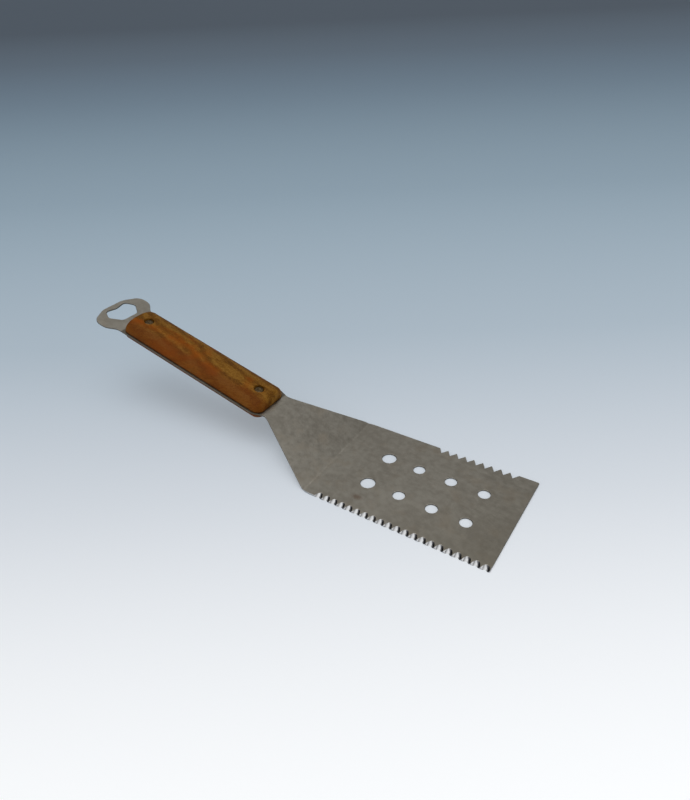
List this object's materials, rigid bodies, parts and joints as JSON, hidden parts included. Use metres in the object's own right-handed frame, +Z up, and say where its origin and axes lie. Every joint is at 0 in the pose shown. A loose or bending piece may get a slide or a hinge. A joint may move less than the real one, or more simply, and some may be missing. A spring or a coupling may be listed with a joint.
{
  "type": "grill spatula",
  "caption": "Grill spatula with a wide perforated steel blade, a saw-toothed edge and a fluted cutting edge, a riveted wooden grip and a bottle opener at the end of the handle.",
  "frame": {"origin": "centre of the tool's length and width, on the plane of the blade's underside", "axes": "+X along the tool to the blade tip, +Y to the saw-toothed edge, +Z up out of the blade's top face"},
  "size_m": [0.4058, 0.1, 0.0783],
  "materials": {
    "stainless_steel": "dull rolled stainless sheet with fine scratches",
    "hardwood": "oiled reddish-brown hardwood",
    "rivet_metal": "darkened steel"
  },
  "bodies": {
    "root": {"spatula_plate": "stainless_steel", "upper_scale": "hardwood", "lower_scale": "hardwood", "front_rivet_post": "rivet_metal", "front_rivet_socket": "rivet_metal", "rear_rivet_post": "rivet_metal", "rear_rivet_socket": "rivet_metal"}
  },
  "joints": []
}
